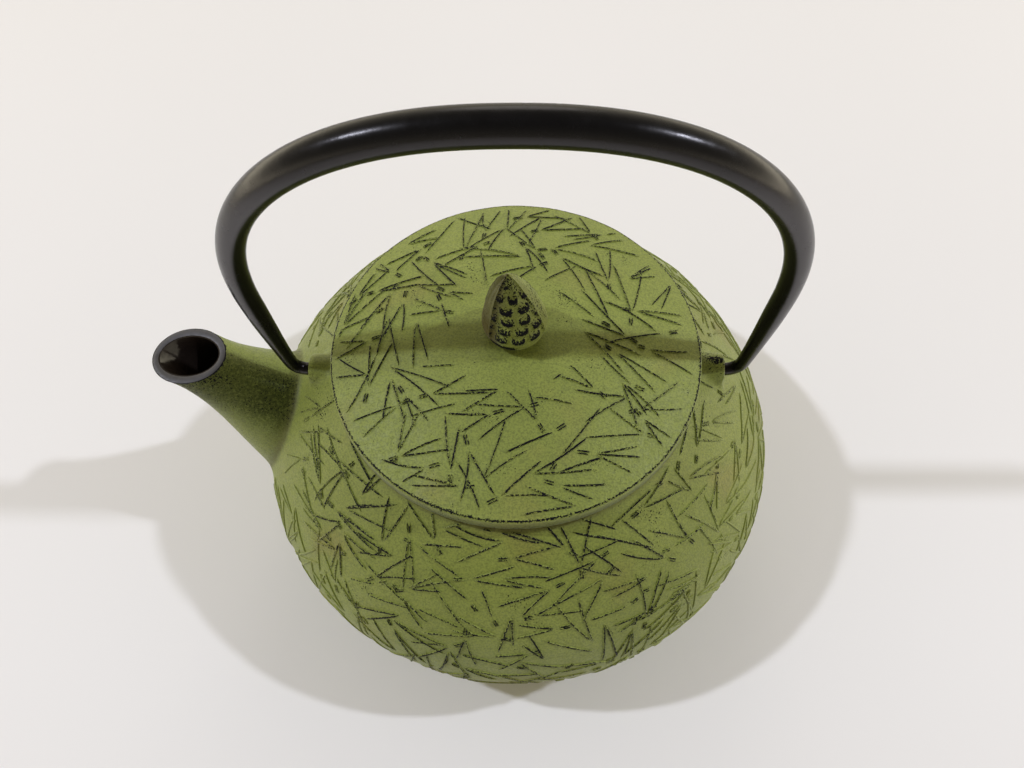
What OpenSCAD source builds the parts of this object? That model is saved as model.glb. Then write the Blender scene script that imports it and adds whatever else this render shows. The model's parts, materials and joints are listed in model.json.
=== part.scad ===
// Cast iron teapot: a wide round pot with a stub spout, a drop-in lid with a pine cone knob,
// an arched bail handle hung on two lugs, an enamel lining and a lift-out tea strainer.
// Millimetres. +Z is up, the spout points to -X, and the origin is on the ground under the
// middle of the pot.

/* [Pot] */
// Radius of the pot at its widest
pot_r = 75; // [70:1:80]
// Height of the widest ring above the ground
belly_z = 32.9; // [31:0.1:35]
// Thickness of the cast wall
wall = 4; // [3.5:0.1:4.5]
// Radius of the foot ring on the ground
foot_r = 40; // [37:0.1:42]
// Height of the flat seat that the lid stands on
seat_z = 77; // [76.5:0.1:77.5]
// Radius of the mouth inside the seat
mouth_r = 40.2; // [40:0.1:41]

/* [Spout] */
// Half width of the spout's mouth across the pot
spout_mouth_y = 8.6; // [8:0.1:9.5]
// Distance of the mouth's far edge from the pot's axis
spout_reach = 96.7; // [94:0.1:99]
// Thickness of the spout's wall at its mouth
spout_wall = 1.9; // [1.6:0.1:2.4]

/* [Lid] */
// Radius of the lid
lid_r = 48.1; // [47:0.1:49]
// Thickness of the lid's edge
lid_edge = 4.4; // [4:0.1:5]
// Rise of the lid's dome above its edge
lid_rise = 7.6; // [6:0.1:9]
// Largest radius of the knob
knob_r = 8.1; // [7:0.1:9]
// Height of the knob
knob_h = 23.9; // [20:0.1:25]

/* [Handle] */
// Height of the pivot pegs
pivot_z = 70.2; // [70:0.1:71]
// Distance of a lug's outer face from the pot's axis
lug_face_x = 55.8; // [55.5:0.1:57]
// Radius of a peg
peg_r = 1.7; // [1.5:0.1:1.9]
// Half width of the handle at its widest, on its centre line
grip_half_w = 63.5; // [62:0.1:66]
// Height of the handle's centre line at its top
grip_top_z = 157; // [150:0.1:160]

/* [Strainer] */
// Radius of the strainer's mesh wall, outside
mesh_r = 34.9; // [33:0.1:35]
// Depth of the strainer under its rim
strainer_depth = 35; // [28:0.5:35]

/* [Hidden] */
$fn = 96;
e = 0.01;                            // overlap that makes two solids of one node one solid
cut = 1;                             // how far a cutter runs past what it cuts
rest_gap = 0.05;                     // gap under a piece that rests on another body
steps = 18;                          // points along each round stretch of the pot's outline

// Pot outline: two superellipse quadrants that meet at the belly
upper_h = 61;                        // height of the upper quadrant
upper_n = 1.675;                     // its exponent
lower_h = 39.6;                      // height of the lower quadrant
lower_n = 1.9;                       // its exponent
collar_r = 45.5;                     // short collar under the lid
foot_h = 1.6;                        // where the outline turns in to the foot ring
foot_w = 6;
base_recess = 1.1;
floor_z = 5.6;                       // inside of the base
ledge_z = 74;                        // ledge that carries the strainer
ledge_r = 37.4;
ledge_under_z = 71.4;
glaze = 0.35;                        // thickness of the enamel
glaze_gap = 3;                       // the enamel stops this far under the ledge

// Spout: rings between a lower and an upper edge line, drawn as Bezier curves in the XZ plane
spout_z = 77;                        // the mouth is level
spout_upper_x = 77.3;                // near edge of the mouth
ring_sides = 28;
ring_steps = 12;
lower_edge = [[-71, 21], [-82, 34], [-83, 60], [-spout_reach, spout_z]];
upper_edge = [[-52, 58], [-62, 62], [-70, 70], [-spout_upper_x, spout_z]];
half_width = [18.5, 19, 7, spout_mouth_y];
root_wall = 3.6;                     // spout wall where it joins the pot
mouth_land = 1;                      // bare iron inside the mouth, above the enamel
channel_start = -0.22;               // the channel starts inside the pot
channel_end = 1.06;                  // and runs out past the mouth

// Lugs
lug_r = 5;
lug_depth = 7;                       // along the peg
lug_foot = 7;                        // how far it runs down into the shoulder
bore_r = peg_r + 0.06;
bore_depth = 5.2;                    // blind, so that the hollow stays tight
lug_edge = 1.2;                      // chamfer at the outer face

// Lid
lid_base_z = seat_z + rest_gap;
lid_edge_z = lid_base_z + lid_edge;
lid_top_z = lid_edge_z + lid_rise;
lid_wall = 4.2;
lid_round = 1.8;                     // radius at the lid's edge
edge_turn = 75;                      // how far round the edge's curve goes, up and down
edge_step = 15;
dome_steps = 8;
under_steps = 6;
pad_r = 7;                           // flat under the knob, above and below the lid
spigot_r = 33.6;                     // ring that keeps the lid in place
spigot_w = 3;
spigot_h = 5.2;
pad_z = lid_top_z - lid_rise * pow(pad_r / lid_r, 2);
pad_under_z = pad_z - lid_wall;

// Knob, rivet and washer
knob_z = pad_z + rest_gap;
knob_belly = 5.8;                    // height of its widest ring
knob_foot_r = 4.6;
knob_tip_n = 1.35;                   // exponent of the outline above the widest ring
knob_low_steps = 10;
knob_tip_steps = 14;
rivet_r = 1.5;
rivet_clear = 0.07;
rivet_into_knob = 8;
washer_r = 5;
washer_t = 0.8;
washer_z = pad_under_z - rest_gap - washer_t;
rivet_head_r = 2.8;
rivet_head_h = 1.4;

// Handle: a superellipse arch over two curved limbs that end in the pegs
grip_mid_z = 107.2;                   // height of the widest point
arch_n = 2.28;
arch_steps = 20;
limb_steps = 10;
bend_x = lug_face_x + 0.3;           // the bar starts to bend up here
bend_r = 4.5;
bend_a = 70;
bend_steps = 6;
bend_end = [bend_x + bend_r * sin(bend_a), pivot_z + bend_r * (1 - cos(bend_a))];
limb_start = 2;                      // how far the limb keeps the bend's direction
limb_pull = [grip_half_w + 0.2, 103];
limb = [bend_end, bend_end + limb_start * [cos(bend_a), sin(bend_a)], limb_pull,
        [grip_half_w, grip_mid_z]];
grip_sides = 16;
limb_end_r = 1.75;                   // half thickness beside the lug
limb_r = 2.6;                        // half thickness up the limbs
limb_swell = 30;                     // height over which the limbs thicken
top_swell_z = 90;                    // from here up they thicken again
top_r = 3.9;                         // half thickness at the top
depth_ratio = 1.07;                  // front-to-back half width over half thickness
oval_z = pivot_z + 4;                // the bar is round up to here
oval_h = 25;                         // height over which it turns oval
peg_len = 4.8;

// Strainer
sheet = 0.5;                         // stainless sheet
mesh_t = 0.4;
rim_z = ledge_z + rest_gap;
rim_r = mouth_r - 0.4;
rim_t = 0.8;
skirt_h = 6;
band_h = 5;
band_lip = 3;
strainer_floor_z = rim_z - strainer_depth;

// A point on a cubic Bezier curve
function bezier(p, t) = pow(1 - t, 3) * p[0] + 3 * pow(1 - t, 2) * t * p[1]
    + 3 * (1 - t) * t * t * p[2] + pow(t, 3) * p[3];

// One quadrant of a superellipse, from the widest point (angle 0) to an end angle
function quadrant(r, h, n, a_end, count) = [for (i = [0:count]) let (a = a_end * i / count)
    [r * pow(cos(a), 2 / n), h * pow(sin(a), 2 / n)]];
function angle_at_radius(r, r_max, n) = acos(pow(r / r_max, n / 2));
function angle_at_height(h, h_max, n) = asin(pow(h / h_max, n / 2));

function reversed(list) = [for (i = [len(list) - 1:-1:0]) list[i]];
function lifted(list, z, up) = [for (p = list) [p[0], z + up * p[1]]];

// The pot's outside from the foot up to the collar
function outside() = let (
    low = quadrant(pot_r, lower_h, lower_n,
        angle_at_height(belly_z - foot_h, lower_h, lower_n), steps),
    high = quadrant(pot_r, upper_h, upper_n,
        angle_at_radius(collar_r, pot_r, upper_n), steps))
    concat(reversed(lifted(low, belly_z, -1)), [for (i = [1:steps]) lifted(high, belly_z, 1)[i]]);

// The hollow inside the pot, set in by a wall thickness
cavity_end_a = angle_at_height(ledge_under_z - belly_z, upper_h - wall, upper_n);
cavity_foot_a = angle_at_height(belly_z - floor_z, lower_h - wall, lower_n);
module cavity(inset) {
    r = pot_r - wall - inset;
    low = lifted(quadrant(r, (belly_z - floor_z - inset) / pow(sin(cavity_foot_a), 2 / lower_n),
        lower_n, cavity_foot_a, steps), belly_z, -1);
    high = lifted(quadrant(r, upper_h - wall, upper_n, cavity_end_a, steps), belly_z, 1);
    rotate_extrude()
        polygon(concat([[0, low[steps][1]]], reversed(low), [for (i = [1:steps]) high[i]],
            [[0, high[steps][1]]]));
}

// A closed tube through a list of rings, each a list of points
module tube(rings) {
    sides = len(rings[0]);
    last = len(rings) - 1;
    polyhedron(
        points = [for (ring = rings) for (p = ring) p],
        faces = concat(
            [[for (j = [0:sides - 1]) j]],
            [for (i = [0:last - 1]) for (j = [0:sides - 1]) let (k = (j + 1) % sides)
                each [[i * sides + j, (i + 1) * sides + j, (i + 1) * sides + k],
                      [i * sides + j, (i + 1) * sides + k, i * sides + k]]],
            [[for (j = [sides - 1:-1:0]) last * sides + j]]));
}

// One ring of the spout at t, set in from the outside by an amount
function spout_ring(t, inset) = let (
    low = bezier(lower_edge, t),
    high = bezier(upper_edge, t),
    mid = (low + high) / 2,
    half = (high - low) / 2,
    along = half / norm(half),
    a = norm(half) - inset,
    b = bezier(half_width, t) - inset)
    [for (j = [0:ring_sides - 1]) let (w = 360 * j / ring_sides)
        [mid[0] + a * cos(w) * along[0], b * sin(w), mid[1] + a * cos(w) * along[1]]];

module spout_solid() {
    tube([for (i = [0:ring_steps]) spout_ring(i / ring_steps, 0)]);
}

// The hollow of the spout, from inside the pot out through the mouth
module channel(extra) {
    span = channel_end - channel_start;
    tube([for (i = [0:ring_steps]) let (t = channel_start + span * i / ring_steps)
        spout_ring(t, extra + spout_wall + (root_wall - spout_wall) * max(0, 1 - max(t, 0)))]);
}

// One bored lug on the +X side
module lug() {
    intersection() {
        union() {
            translate([lug_face_x - lug_depth, 0, pivot_z])
                rotate([0, 90, 0])
                cylinder(r = lug_r, h = lug_depth);
            translate([lug_face_x - lug_depth, -lug_r, pivot_z - lug_foot])
                cube([lug_depth, 2 * lug_r, lug_foot]);
        }
        translate([lug_face_x - lug_depth - cut, 0, pivot_z])
            rotate([0, 90, 0])
            cylinder(r1 = lug_r + lug_depth + cut, r2 = lug_r - lug_edge, h = lug_depth + cut + e);
    }
}

module lug_bore() {
    translate([lug_face_x - bore_depth, 0, pivot_z])
        rotate([0, 90, 0])
        cylinder(r = bore_r, h = bore_depth + cut);
}

// The space on the spout's side of the axis, up to a height
module spout_side(top) {
    translate([-2 * pot_r, -pot_r, 0])
        cube([2 * pot_r, 2 * pot_r, top]);
}

module pot_casting() {
    color("darkolivegreen")
    difference() {
        union() {
            rotate_extrude()
                polygon(concat(
                    [[0, base_recess], [foot_r - foot_w, base_recess], [foot_r - foot_w, 0],
                     [foot_r, 0]],
                    outside(),
                    [[collar_r, seat_z], [0, seat_z]]));
            intersection() {
                spout_solid();
                spout_side(spout_z);
            }
            for (side = [0, 1])
                mirror([side, 0, 0]) lug();
        }
        cavity(0);
        channel(0);
        translate([0, 0, ledge_under_z - cut])
            cylinder(r = ledge_r, h = seat_z);
        translate([0, 0, ledge_z])
            cylinder(r = mouth_r, h = seat_z);
        for (side = [0, 1])
            mirror([side, 0, 0]) lug_bore();
    }
}

module enamel_lining() {
    color("black")
    difference() {
        union() {
            cavity(0);
            intersection() {
                channel(0);
                spout_side(spout_z - mouth_land);
            }
        }
        cavity(glaze);
        channel(glaze);
        translate([0, 0, ledge_under_z - glaze_gap])
            cylinder(r = collar_r + glaze_gap, h = glaze_gap + cut);
    }
}

module lid_casting() {
    color("darkolivegreen")
    difference() {
        rotate_extrude()
            polygon(concat(
                [[0, pad_under_z], [pad_r, pad_under_z]],
                [for (i = [1:under_steps])
                    let (r = pad_r + (spigot_r - spigot_w - pad_r) * i / under_steps)
                    [r, lid_top_z - lid_wall - lid_rise * pow(r / lid_r, 2)]],
                [[spigot_r - spigot_w, lid_base_z - spigot_h], [spigot_r, lid_base_z - spigot_h],
                 [spigot_r, lid_base_z], [lid_r - lid_round, lid_base_z]],
                [for (a = [-edge_turn:edge_step:edge_turn])
                    [lid_r - lid_round + lid_round * cos(a),
                     lid_base_z + lid_edge / 2 + (lid_edge / 2) * sin(a)]],
                [for (i = [dome_steps:-1:1])
                    let (r = pad_r + (lid_r - lid_round - pad_r) * i / dome_steps)
                    [r, lid_top_z - lid_rise * pow(r / lid_r, 2)]],
                [[pad_r, pad_z], [0, pad_z]]));
        translate([0, 0, pad_under_z - cut])
            cylinder(r = rivet_r + rivet_clear, h = lid_wall + 2 * cut);
    }
}

module lid_knob() {
    top_h = knob_h - knob_belly;
    low_h = knob_belly / sqrt(1 - pow(knob_foot_r / knob_r, 2));
    color("olivedrab")
    difference() {
        translate([0, 0, knob_z])
            rotate_extrude()
            polygon(concat(
                [[0, 0]],
                [for (i = [0:knob_low_steps - 1]) let (z = knob_belly * i / knob_low_steps)
                    [knob_r * sqrt(1 - pow((knob_belly - z) / low_h, 2)), z]],
                lifted(quadrant(knob_r, top_h, knob_tip_n, 90, knob_tip_steps), knob_belly, 1)));
        translate([0, 0, knob_z - cut])
            cylinder(r = rivet_r, h = rivet_into_knob + cut);
    }
}

module knob_rivet() {
    color("dimgray")
    union() {
        translate([0, 0, washer_z - e])
            cylinder(r = rivet_r, h = knob_z + rivet_into_knob - washer_z + e);
        translate([0, 0, washer_z - rivet_head_h])
            cylinder(r = rivet_head_r, h = rivet_head_h);
    }
}

module knob_washer() {
    color("silver")
    translate([0, 0, washer_z])
        difference() {
            cylinder(r = washer_r, h = washer_t);
            translate([0, 0, -cut])
                cylinder(r = rivet_r, h = washer_t + 2 * cut);
        }
}

// Centre line of the handle's +X half, from the peg up to the top
function half_line() = concat(
    [for (i = [0:bend_steps - 1]) let (a = bend_a * i / bend_steps)
        [bend_x + bend_r * sin(a), pivot_z + bend_r * (1 - cos(a))]],
    [for (i = [0:limb_steps - 1]) bezier(limb, i / limb_steps)],
    reversed([for (p = quadrant(grip_top_z - grip_mid_z, grip_half_w, arch_n, 90, arch_steps))
        [p[1], grip_mid_z + p[0]]]));

// Whole centre line in the XZ plane, with the half thickness at each point
function grip_line() = let (right = half_line(), n = len(right))
    concat(right, [for (i = [n - 2:-1:0]) [-right[i][0], right[i][1]]]);
function smooth(t) = let (c = min(max(t, 0), 1)) c * c * (3 - 2 * c);
function grip_r(p) = let (
    low = smooth((p[1] - pivot_z) / limb_swell),
    high = smooth((p[1] - top_swell_z) / (grip_top_z - top_swell_z)))
    limb_end_r + (limb_r - limb_end_r) * low + (top_r - limb_r) * high;
function grip_ratio(p) = 1 + (depth_ratio - 1) * smooth((p[1] - oval_z) / oval_h);

module handle() {
    line = grip_line();
    last = len(line) - 1;
    color("black")
    union() {
        tube([for (i = [0:last]) let (
            before = line[max(i - 1, 0)],
            after = line[min(i + 1, last)],
            run = i == 0 || i == last ? [1, 0] : (after - before) / norm(after - before),
            r = grip_r(line[i]),
            w = grip_ratio(line[i]) * r)
            [for (j = [0:grip_sides - 1]) let (a = 360 * j / grip_sides)
                [line[i][0] + r * cos(a) * run[1], w * sin(a), line[i][1] - r * cos(a) * run[0]]]]);
        for (side = [0, 1])
            mirror([side, 0, 0])
            translate([bend_x + e - peg_len, 0, pivot_z])
            rotate([0, 90, 0])
            cylinder(r = peg_r, h = peg_len);
    }
}

module strainer_rim() {
    color("silver")
    union() {
        translate([0, 0, rim_z])
            ring(mesh_r, rim_r, rim_t);
        translate([0, 0, rim_z - skirt_h])
            ring(mesh_r, mesh_r + sheet, skirt_h + e);
    }
}

module strainer_mesh_wall() {
    color("lightgray")
    translate([0, 0, strainer_floor_z + sheet])
        ring(mesh_r - mesh_t, mesh_r, strainer_depth - sheet);
}

module strainer_base_band() {
    color("silver")
    union() {
        translate([0, 0, strainer_floor_z])
            ring(mesh_r, mesh_r + sheet, band_h);
        translate([0, 0, strainer_floor_z])
            ring(mesh_r - band_lip, mesh_r + e, sheet);
    }
}

module strainer_mesh_floor() {
    color("lightgray")
    translate([0, 0, strainer_floor_z + sheet])
        cylinder(r = mesh_r - mesh_t, h = mesh_t);
}

module ring(inner_r, outer_r, h) {
    difference() {
        cylinder(r = outer_r, h = h);
        translate([0, 0, -cut])
            cylinder(r = inner_r, h = h + 2 * cut);
    }
}

pot_casting();
enamel_lining();
lid_casting();
lid_knob();
knob_rivet();
knob_washer();
handle();
strainer_rim();
strainer_mesh_wall();
strainer_base_band();
strainer_mesh_floor();
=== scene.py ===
"""A moss green cast iron teapot with pine needle relief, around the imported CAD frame.

Shapes are worked out in millimetres and scaled by MM when they become meshes. X runs along the
handle's pegs with the spout at -X, +Y points away from the camera and +Z is up.
"""

import json
import math

import bmesh
import bpy
import numpy as np
from mathutils import Matrix, Vector


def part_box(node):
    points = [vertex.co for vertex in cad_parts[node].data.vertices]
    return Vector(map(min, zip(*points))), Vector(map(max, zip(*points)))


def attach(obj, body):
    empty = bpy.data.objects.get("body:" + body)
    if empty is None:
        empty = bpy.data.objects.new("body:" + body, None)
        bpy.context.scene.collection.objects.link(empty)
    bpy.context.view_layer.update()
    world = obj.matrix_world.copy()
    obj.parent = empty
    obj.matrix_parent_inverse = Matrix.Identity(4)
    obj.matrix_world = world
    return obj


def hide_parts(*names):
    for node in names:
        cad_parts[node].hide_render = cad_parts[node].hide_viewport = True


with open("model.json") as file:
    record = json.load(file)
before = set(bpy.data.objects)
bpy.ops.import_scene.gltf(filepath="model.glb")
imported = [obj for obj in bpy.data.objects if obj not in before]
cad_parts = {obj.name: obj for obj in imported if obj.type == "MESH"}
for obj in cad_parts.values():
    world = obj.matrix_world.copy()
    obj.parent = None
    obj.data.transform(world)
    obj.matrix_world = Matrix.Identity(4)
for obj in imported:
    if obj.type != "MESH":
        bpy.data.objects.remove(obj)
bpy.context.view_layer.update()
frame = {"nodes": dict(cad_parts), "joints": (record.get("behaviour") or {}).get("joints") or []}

MM = 0.001

# ---------------------------------------------------------------- sizes


def box_mm(node):
    """The low and high corners of a CAD node's box, in millimetres."""
    return [np.array(corner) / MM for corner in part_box(node)]


pot_low, pot_high = box_mm("pot_casting")
knob_low, knob_high = box_mm("lid_knob")
rim_low, rim_high = box_mm("strainer_rim")
band_low, band_high = box_mm("strainer_base_band")
swing = [joint for joint in frame["joints"] if joint["name"] == "handle_swing"][0]

# the bowl, a superellipse of revolution with its widest place at BELLY_Z
POT_R = pot_high[1]
SEAT_Z = pot_high[2]
BELLY_Z = 32.9
UPPER_H, UPPER_N = 61.0, 1.675
LOWER_H, LOWER_N = 39.6, 1.9
WALL = 4.0
FLOOR_Z = 5.6
FOOT_R, FOOT_IN_R, FOOT_RECESS, FOOT_EDGE = 40.0, 34.0, 1.1, 0.4
MOUTH_R, MOUTH_CHAMFER = 40.2, 0.5
LEDGE_Z, LEDGE_R, LEDGE_UNDER_Z = 74.0, 37.4, 71.4
COLLAR_R, COLLAR_Z, COLLAR_HALF_H = 45.5, 75.0, 8.0

# the enamel: its thickness, its gap to the iron, and where it ends under the ledge
GLAZE, SLIP = 0.35, 0.02
GLAZE_TOP_Z = LEDGE_UNDER_Z - 3

# the spout: cubic curves of its edges in (x, z) and of half its width
LOWER_EDGE = np.array([[-71, 21], [-82, 34], [-83, 60], [pot_low[0], SEAT_Z]])
UPPER_EDGE = np.array([[-52, 58], [-62, 62], [-70, 70], [-77.3, SEAT_Z]])
HALF_WIDTH = np.array([18.5, 19, 7, 8.6])
ROOT_WALL = 3.6
MOUTH_EDGE = (1.55, 2.2)  # flat edge of the spout's mouth, along X and along Y
SPOUT_SIDE_X = -30.0  # the spout lies wholly beyond this

PIVOT_Z = swing["pos_m"][2] / MM
LUG_FACE, LUG_DEPTH, LUG_R, LUG_FOOT = 55.8, 7.0, 4.4, 9.0
BORE_R, BORE_DEPTH, PEG_R = 1.76, 5.2, 1.7

LID_R = box_mm("lid_casting")[1][0]
LID_TOP = 89.05
LID_RISE = 7.6
LID_BASE = SEAT_Z + 0.05
LID_WALL = 4.2
EDGE_ROUND = 0.9
PAD_R = 7.0
SPIGOT_R, SPIGOT_W, SPIGOT_H = 33.6, 3.0, 5.2
HOLE_R = 1.57

FAR = 130.0  # beyond the whole pot, for cutters


# ---------------------------------------------------------------- small helpers


def bezier(p, t):
    """Points of a cubic Bezier curve at an array of t."""
    t = np.asarray(t, float)
    shape = (1,) * t.ndim
    weights = [(1 - t) ** 3, 3 * (1 - t) ** 2 * t, 3 * (1 - t) * t**2, t**3]
    p = np.asarray(p, float)
    if p.ndim == 1:
        return sum(weight * value for weight, value in zip(weights, p))
    return sum(weight[..., None] * row.reshape(shape + (-1,)) for weight, row in zip(weights, p))


def smooth_step(x, zero_at, one_at):
    """Goes smoothly from 0 to 1 as x goes from one value to the other, up or down."""
    t = np.clip((x - zero_at) / (one_at - zero_at), 0, 1)
    return t * t * (3 - 2 * t)


def peak(x, centre, half_width):
    """1 at the centre, falling off smoothly on both sides."""
    return np.exp(-(((x - centre) / half_width) ** 2))


def smooth_union(a, b, k):
    """The union of two distance fields, blended over a distance of about k."""
    h = np.clip(0.5 + 0.5 * (b - a) / k, 0, 1)
    return b + (a - b) * h - k * h * (1 - h)


def smooth_cut(a, b, k):
    """The smooth intersection of two distance fields."""
    return -smooth_union(-a, -b, k)


def circle(sides):
    """The angles of evenly spaced points round a circle."""
    return 2 * math.pi * np.arange(sides) / sides


def from_axis(p):
    """Distance of points from the Z axis."""
    return np.hypot(p[:, 0], p[:, 1])


def unit(v):
    """Vectors made one long."""
    return v / np.maximum(np.linalg.norm(v, axis=-1, keepdims=True), 1e-9)


def add_piece(name, points, faces, material, body, slot_name):
    """A new mesh piece, from points in millimetres, that rides on a CAD body."""
    mesh = bpy.data.meshes.new(name)
    mesh.from_pydata((np.asarray(points, float) * MM).tolist(), [], [list(f) for f in faces])
    mesh.validate()
    mesh.update()
    piece = bpy.data.objects.new(name, mesh)
    bpy.context.scene.collection.objects.link(piece)
    mesh.polygons.foreach_set("use_smooth", [True] * len(mesh.polygons))
    if material is not None:
        mesh.materials.append(material)
    if body is not None:
        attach(piece, body)
    return piece


def points_of(piece):
    """The piece's vertices, in millimetres."""
    flat = np.empty(len(piece.data.vertices) * 3)
    piece.data.vertices.foreach_get("co", flat)
    return flat.reshape(-1, 3) / MM


def ripple(p, wave, seed):
    """Gentle unevenness between about -1 and 1, as a sum of plane waves."""
    rng = np.random.default_rng(seed)
    total = np.zeros(len(p))
    count = 7
    for _ in range(count):
        heading = rng.normal(size=3)
        heading *= 2 * math.pi / (wave * rng.uniform(0.7, 1.6)) / np.linalg.norm(heading)
        total += np.sin(p @ heading + rng.uniform(0, 2 * math.pi))
    return total / math.sqrt(count)


# ---------------------------------------------------------------- distance fields of the pot

SPOUT_BLEND, LUG_BLEND, COLLAR_BLEND = 2.6, 1.4, 1.5
LUG_ROUND = 0.9
FAR_OFF = 60.0  # stands for any distance too large to matter

SPOUT_T = np.linspace(-0.1, 1.08, 42)
spout_low = bezier(LOWER_EDGE, SPOUT_T)
spout_high = bezier(UPPER_EDGE, SPOUT_T)
spout_mid = (spout_low + spout_high) / 2
spout_half = (spout_high - spout_low) / 2
spout_a = np.linalg.norm(spout_half, axis=1)
spout_b = bezier(HALF_WIDTH, SPOUT_T)
spout_along = spout_half / spout_a[:, None]
spout_out = np.stack([-spout_along[:, 1], spout_along[:, 0]], 1)


def bowl_field(p):
    """Distance to the round bowl, a superellipse of revolution in two halves."""
    dz = p[:, 2] - BELLY_Z
    height = np.where(dz > 0, UPPER_H, LOWER_H)
    n = np.where(dz > 0, UPPER_N, LOWER_N)
    u, w = from_axis(p) / POT_R + 1e-9, np.abs(dz) / height + 1e-9
    total = u**n + w**n
    slope = total ** (1 / n - 1) * np.hypot(u ** (n - 1) / POT_R, w ** (n - 1) / height)
    return (total ** (1 / n) - 1) / slope


def spout_field(p):
    """Distance to the spout, a sweep of ellipses between its two edge lines."""
    x, y, z = p[:, 0], p[:, 1], p[:, 2]
    dx, dz = x[:, None] - spout_mid[:, 0], z[:, None] - spout_mid[:, 1]
    past = dx * spout_out[:, 0] + dz * spout_out[:, 1]  # how far past each ring's plane
    i = np.clip((past > 0).sum(1) - 1, 0, len(SPOUT_T) - 2)
    row = np.arange(len(p))
    past_0, past_1 = past[row, i], past[row, i + 1]
    gap = past_0 - past_1
    share = np.clip(past_0 / np.where(np.abs(gap) < 1e-9, 1e-9, gap), 0, 1)
    cap = np.maximum(-past[:, 0], past[:, -1])

    def between_rings(values):
        s = share[:, None] if values.ndim > 1 else share
        return values[i] * (1 - s) + values[i + 1] * s

    mid, along, a, b = map(between_rings, (spout_mid, spout_along, spout_a, spout_b))
    u = (x - mid[:, 0]) * along[:, 0] + (z - mid[:, 1]) * along[:, 1]
    e = np.sqrt((u / a) ** 2 + (y / b) ** 2) + 1e-9
    slope = np.sqrt((u / a**2) ** 2 + (y / b**2) ** 2) / e + 1e-9
    return np.maximum((e - 1) / slope, cap)


def spout_side_field(p):
    """Like spout_field, but worked out only on the spout's side of the pot."""
    distance = np.full(len(p), FAR_OFF)
    near = p[:, 0] < SPOUT_SIDE_X
    distance[near] = spout_field(p[near])
    return distance


def lug_field(p):
    """Distance to the two lugs, round-topped blocks on the shoulder."""
    x, y, up = np.abs(p[:, 0]), p[:, 1], p[:, 2] - PIVOT_Z
    arch = np.where(up > 0, np.hypot(y, up), np.abs(y)) - LUG_R
    ends = np.maximum(x - LUG_FACE, LUG_FACE - LUG_DEPTH - x)
    ends = np.maximum(ends, -up - LUG_FOOT)
    return smooth_cut(arch, ends, LUG_ROUND)


def pot_field(p):
    """Distance to the outside of the pot, with a little of the sand mould's unevenness."""
    collar = np.maximum(from_axis(p) - COLLAR_R, np.abs(p[:, 2] - COLLAR_Z) - COLLAR_HALF_H)
    distance = smooth_union(bowl_field(p), spout_side_field(p), SPOUT_BLEND)
    distance = smooth_union(distance, lug_field(p), LUG_BLEND)
    distance = smooth_union(distance, collar, COLLAR_BLEND)
    uneven = 0.10 - 0.07 * smooth_step(p[:, 0], -70, -82)
    return distance - uneven * ripple(p, 14, 3)


def slope_of(field, p, step=0.05):
    """The field's value and gradient at points, by central differences."""
    gradient = np.empty_like(p)
    for axis, shift in enumerate(np.eye(3) * step):
        gradient[:, axis] = (field(p + shift) - field(p - shift)) / (2 * step)
    return field(p), gradient


def settle(field, p, rounds=3):
    """Moves points onto the field's zero surface."""
    for _ in range(rounds):
        value, gradient = slope_of(field, p)
        p = p - gradient * (value / np.maximum((gradient**2).sum(1), 1e-6))[:, None]
    return p


def surface_nets(field, low, high, step):
    """A quad mesh of the field's zero surface: (points, faces), both as arrays."""
    axes = [np.arange(lo, hi + step, step) for lo, hi in zip(low, high)]
    shape = [len(a) for a in axes]
    grid = np.stack(np.meshgrid(*axes, indexing="ij"), -1).reshape(-1, 3)
    value = np.concatenate([field(part) for part in np.array_split(grid, 24)]).reshape(shape)
    inside = value < 0

    # one point in each cell that the surface crosses, at the mean of its edges' crossings
    cells = [n - 1 for n in shape]
    total, count = np.zeros(cells + [3]), np.zeros(cells)

    def at_corner(array, corner):
        return array[tuple(slice(c, c + n) for c, n in zip(corner, cells))]

    for corner in np.ndindex(2, 2, 2):
        for axis in range(3):
            if corner[axis]:
                continue
            other = tuple(1 if a == axis else c for a, c in enumerate(corner))
            value_0, value_1 = at_corner(value, corner), at_corner(value, other)
            crosses = at_corner(inside, corner) != at_corner(inside, other)
            t = np.where(crosses, value_0 / np.where(crosses, value_0 - value_1, 1), 0)
            for a in range(3):
                total[..., a] += crosses * (corner[a] + (t if a == axis else 0))
            count += crosses
    used = count > 0
    index = np.full(cells, -1)
    index[used] = np.arange(used.sum())
    points = (np.argwhere(used) + total[used] / count[used][:, None]) * step + np.array(low)

    # one quad round each grid edge that the surface crosses
    faces = []
    for axis in range(3):
        a, b = [other for other in range(3) if other != axis]
        inside_0 = np.take(inside, range(shape[axis] - 1), axis)
        inside_1 = np.take(inside, range(1, shape[axis]), axis)
        where = np.argwhere(inside_0 != inside_1)
        within = [(where[:, side] > 0) & (where[:, side] < shape[side] - 1) for side in (a, b)]
        where = where[np.all(within, 0)]
        around = []
        for shift_a, shift_b in ((-1, -1), (0, -1), (0, 0), (-1, 0)):
            cell = where.copy()
            cell[:, a] += shift_a
            cell[:, b] += shift_b
            around.append(index[tuple(cell.T)])
        quads = np.stack(around, 1)
        backward = inside_0[tuple(where.T)] == (axis == 1)
        quads[backward] = quads[backward][:, ::-1]
        faces.append(quads)
    return points, np.concatenate(faces)


def relax(points, faces, field, rounds):
    """Evens out a mesh along its surface and settles it back on the field."""
    links = np.concatenate([faces[:, [i, (i + 1) % 4]] for i in range(4)])
    for _ in range(rounds):
        total, count = np.zeros_like(points), np.zeros(len(points))
        for a, b in ((0, 1), (1, 0)):
            np.add.at(total, links[:, a], points[links[:, b]])
            np.add.at(count, links[:, a], 1)
        points = points * 0.4 + 0.6 * total / count[:, None]
        points = settle(field, points, 1)
    return settle(field, points, 2)


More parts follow.
